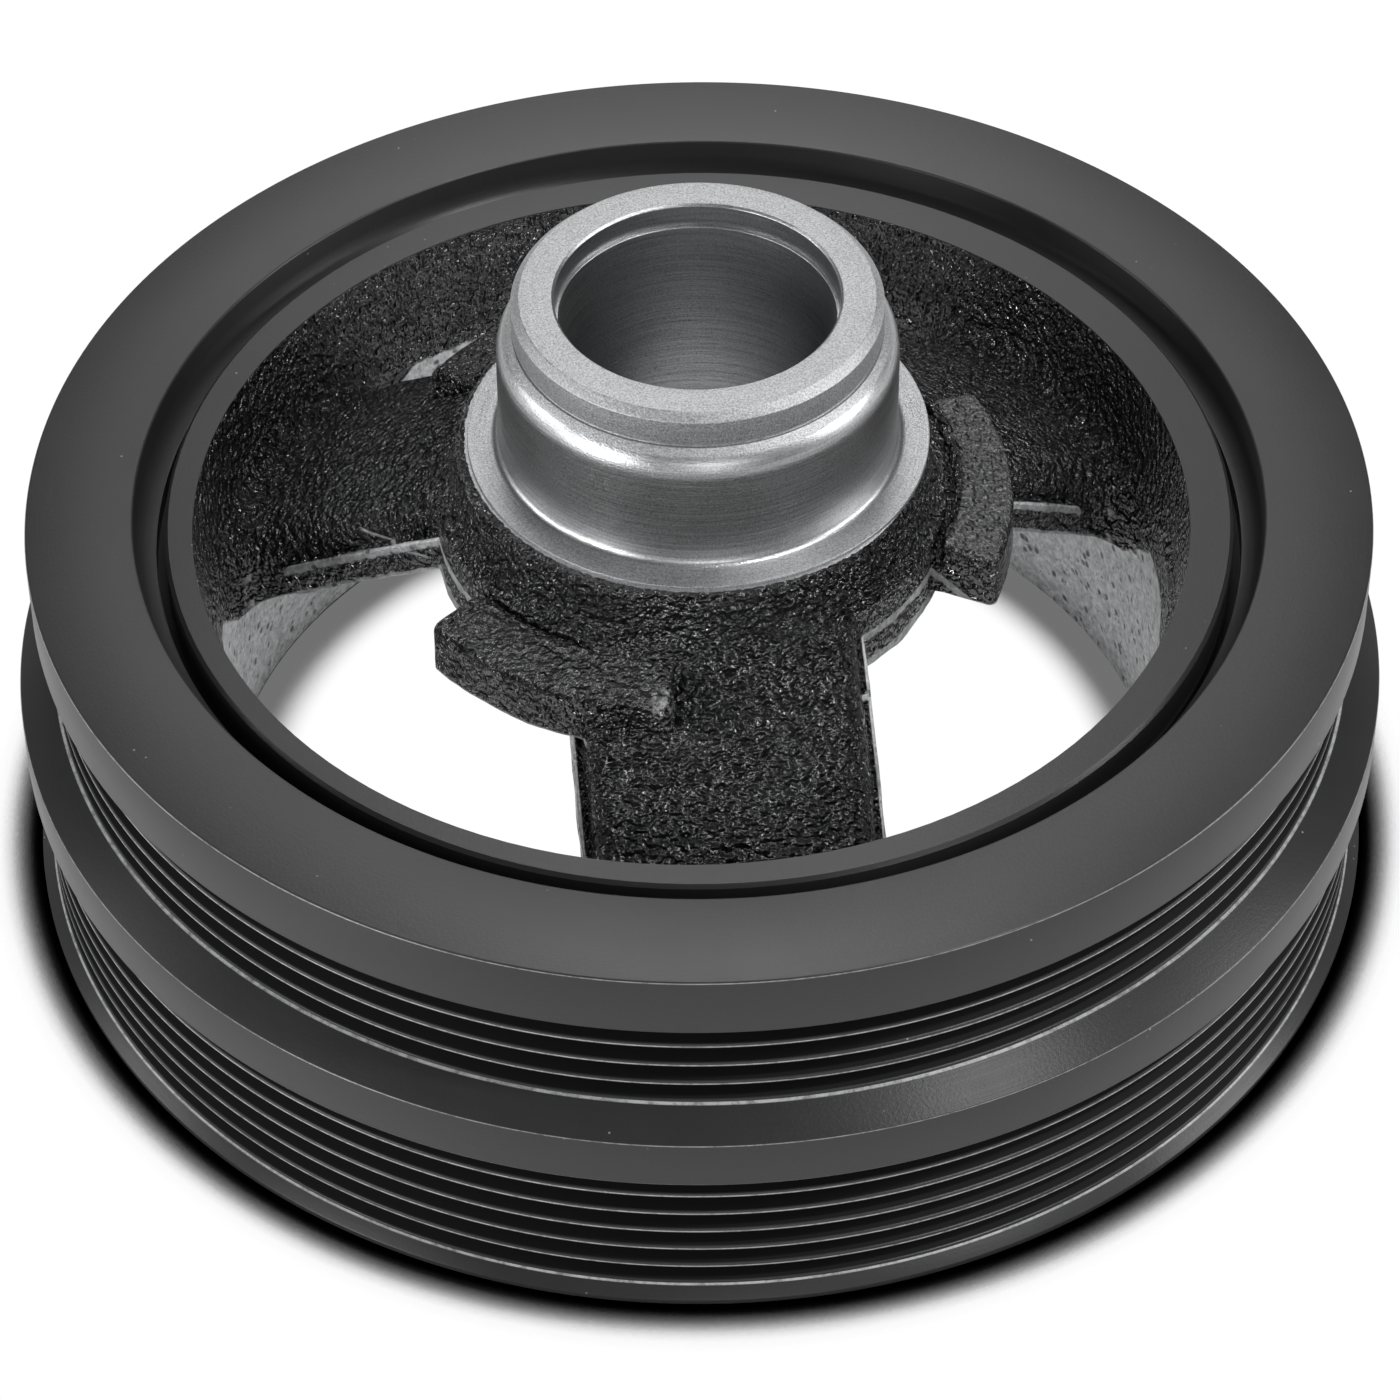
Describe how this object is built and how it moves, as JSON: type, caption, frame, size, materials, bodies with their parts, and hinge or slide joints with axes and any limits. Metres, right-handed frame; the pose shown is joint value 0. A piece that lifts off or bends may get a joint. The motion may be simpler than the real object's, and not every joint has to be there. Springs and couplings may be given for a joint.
{
  "type": "harmonic balancer",
  "caption": "Crankshaft vibration damper: an armed hub with a turned snout, a rubber ring pressed round its rim, and a heavy inertia ring with ribbed belt grooves.",
  "frame": {"origin": "on the crankshaft's axis, in the plane that the inertia ring lies on (the face that looks away from the engine)", "axes": "+Z along the crankshaft's axis towards the engine, out of the snout; -Y to the front arm's side"},
  "size_m": [0.1936, 0.1936, 0.0951],
  "materials": {
    "hub_casting": "black paint over a sand-cast skin; the snout, its shoulder and the bore are bare turned metal",
    "rubber": "matt black",
    "ring_paint": "satin black coating over turned faces"
  },
  "bodies": {
    "root": {"hub": "hub_casting", "rubber_ring": "rubber", "inertia_ring": "ring_paint"}
  },
  "joints": []
}
